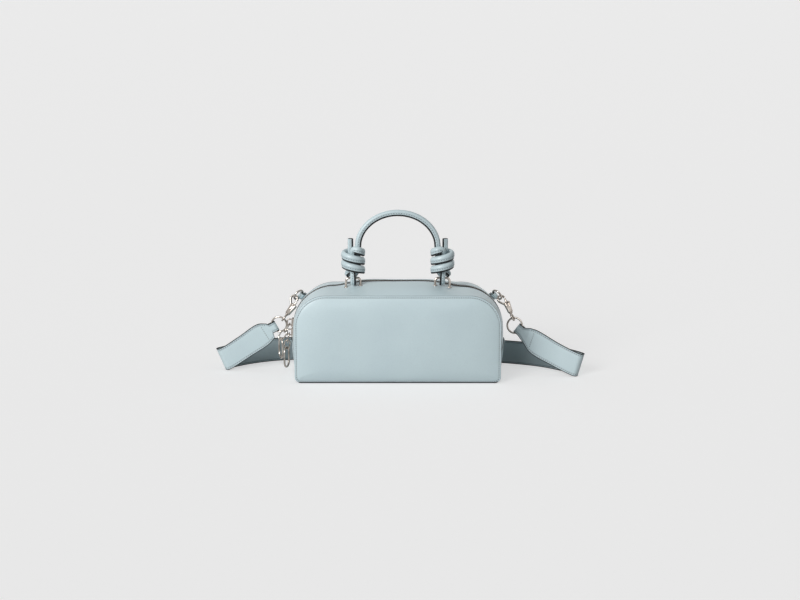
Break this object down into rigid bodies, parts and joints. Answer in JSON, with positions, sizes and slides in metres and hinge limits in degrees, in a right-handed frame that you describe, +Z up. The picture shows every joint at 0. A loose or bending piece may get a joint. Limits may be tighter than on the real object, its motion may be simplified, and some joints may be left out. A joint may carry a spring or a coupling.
{
  "type": "bowling_bag",
  "caption": "Small zip-top bowling bag in pale blue leather: arched front, knotted rope handle on staples, clip-on shoulder strap lying round it, sliders with ring pulls.",
  "frame": {"origin": "centre of the base, on the floor under the bag", "axes": "+X to the right in the picture along the bag's width, +Y away from the camera, +Z up"},
  "size_m": [0.4684, 0.1529, 0.213],
  "materials": {
    "pale_leather": "smooth, pale blue",
    "dark_leather": "smooth, dark grey-blue",
    "lining": "plain weave",
    "zip_tape": "woven tape",
    "nickel": "polished warm nickel",
    "steel": "plain",
    "board": "plain"
  },
  "bodies": {
    "bag": {"front_panel": "pale_leather", "back_panel": "pale_leather", "zip_gusset_front": "pale_leather", "zip_gusset_back": "pale_leather", "base_gusset": "pale_leather", "base_board": "board", "lining_front": "lining", "lining_back": "lining", "lining_base": "lining", "lining_gusset_front": "lining", "lining_gusset_back": "lining", "zip_tape_front": "zip_tape", "zip_tape_back": "zip_tape", "zip_teeth_front": "nickel", "zip_teeth_back": "nickel", "zip_end_tab_left": "pale_leather", "zip_end_tab_right": "pale_leather", "handle_staple_left": "nickel", "handle_staple_right": "nickel", "staple_backing_plate_left": "steel", "staple_backing_plate_right": "steel", "ring_tab_left": "pale_leather", "ring_tab_right": "pale_leather", "hook_swivel_left": "nickel", "hook_swivel_right": "nickel", "strap_ring_left": "nickel", "strap_ring_right": "nickel", "strap_outer": "pale_leather", "strap_lining": "dark_leather"},
    "handle": {"handle": "pale_leather"},
    "upper_slider": {"zip_slider_upper": "nickel"},
    "upper_link_a": {"upper_pull_upper_link": "nickel"},
    "upper_link_b": {"upper_pull_lower_link": "nickel"},
    "upper_ring": {"upper_pull_ring": "nickel"},
    "lower_slider": {"zip_slider_lower": "nickel"},
    "lower_link_a": {"lower_pull_upper_link": "nickel"},
    "lower_link_b": {"lower_pull_lower_link": "nickel"},
    "lower_ring": {"lower_pull_ring": "nickel"},
    "end_ring_left": {"end_ring_left": "nickel"},
    "end_ring_right": {"end_ring_right": "nickel"},
    "hook_left": {"hook_body_left": "nickel", "hook_spring_left": "steel"},
    "bolt_left": {"hook_bolt_left": "nickel"},
    "hook_right": {"hook_body_right": "nickel", "hook_spring_right": "steel"},
    "bolt_right": {"hook_bolt_right": "nickel"}
  },
  "joints": [
    {"name": "handle_swing", "type": "hinge", "parent": "bag", "child": "handle", "pos_m": [0, -0.022, 0.1273], "axis": [1, 0, 0], "range_deg": [-35, 50]},
    {"name": "upper_slider_run", "type": "hinge", "parent": "bag", "child": "upper_slider", "pos_m": [-0.081, 0, 0.063], "axis": [0, 1, 0], "range_deg": [0, 75]},
    {"name": "upper_pull_lift", "type": "hinge", "parent": "upper_slider", "child": "upper_link_a", "pos_m": [-0.13761, 0, 0.06384], "axis": [0, 1, 0], "range_deg": [0, 8]},
    {"name": "upper_link_swing", "type": "hinge", "parent": "upper_link_a", "child": "upper_link_b", "pos_m": [-0.14311, -0.005, 0.05533], "axis": [0, 1, 0], "range_deg": [0, 20]},
    {"name": "upper_ring_swing", "type": "hinge", "parent": "upper_link_b", "child": "upper_ring", "pos_m": [-0.14861, -0.01, 0.04682], "axis": [0.9397, 0.342, 0], "range_deg": [-10, 0]},
    {"name": "lower_slider_run", "type": "slide", "parent": "bag", "child": "lower_slider", "axis": [0, 0, -1], "range_m": [0, 0.0025]},
    {"name": "lower_pull_lift", "type": "hinge", "parent": "lower_slider", "child": "lower_link_a", "pos_m": [-0.13777, 0, 0.0509], "axis": [0, 1, 0], "range_deg": [0, 25]},
    {"name": "lower_link_swing", "type": "hinge", "parent": "lower_link_a", "child": "lower_link_b", "pos_m": [-0.13977, 0.005, 0.04097], "axis": [0, 1, 0], "range_deg": [0, 20]},
    {"name": "lower_ring_swing", "type": "hinge", "parent": "lower_link_b", "child": "lower_ring", "pos_m": [-0.14177, 0.01, 0.03103], "axis": [0.9397, -0.342, 0], "range_deg": [0, 10]},
    {"name": "end_ring_left_tilt", "type": "hinge", "parent": "bag", "child": "end_ring_left", "pos_m": [-0.1232, 0.0274, 0.09597], "axis": [0.6157, 0, 0.788], "range_deg": [-4, 4]},
    {"name": "end_ring_right_tilt", "type": "hinge", "parent": "bag", "child": "end_ring_right", "pos_m": [0.1232, 0.0274, 0.09597], "axis": [-0.6157, 0, 0.788], "range_deg": [-4, 4]},
    {"name": "hook_left_swivel", "type": "hinge", "parent": "bag", "child": "hook_left", "pos_m": [-0.14051, 0.01772, 0.07455], "axis": [0.6056, -0.003, 0.7958], "range_deg": [-8, 2]},
    {"name": "hook_left_bolt", "type": "slide", "parent": "hook_left", "child": "bolt_left", "axis": [-0.6056, 0.003, -0.7958], "range_m": [0, 0.005], "stiffness_N_per_m": 400, "springref_m": -0.002},
    {"name": "hook_right_swivel", "type": "hinge", "parent": "bag", "child": "hook_right", "pos_m": [0.14311, 0.01372, 0.0771], "axis": [-0.3576, 0.414, 0.8371], "range_deg": [-8, 8]},
    {"name": "hook_right_bolt", "type": "slide", "parent": "hook_right", "child": "bolt_right", "axis": [0.3576, -0.414, -0.8371], "range_m": [0, 0.005], "stiffness_N_per_m": 400, "springref_m": -0.002}
  ]
}
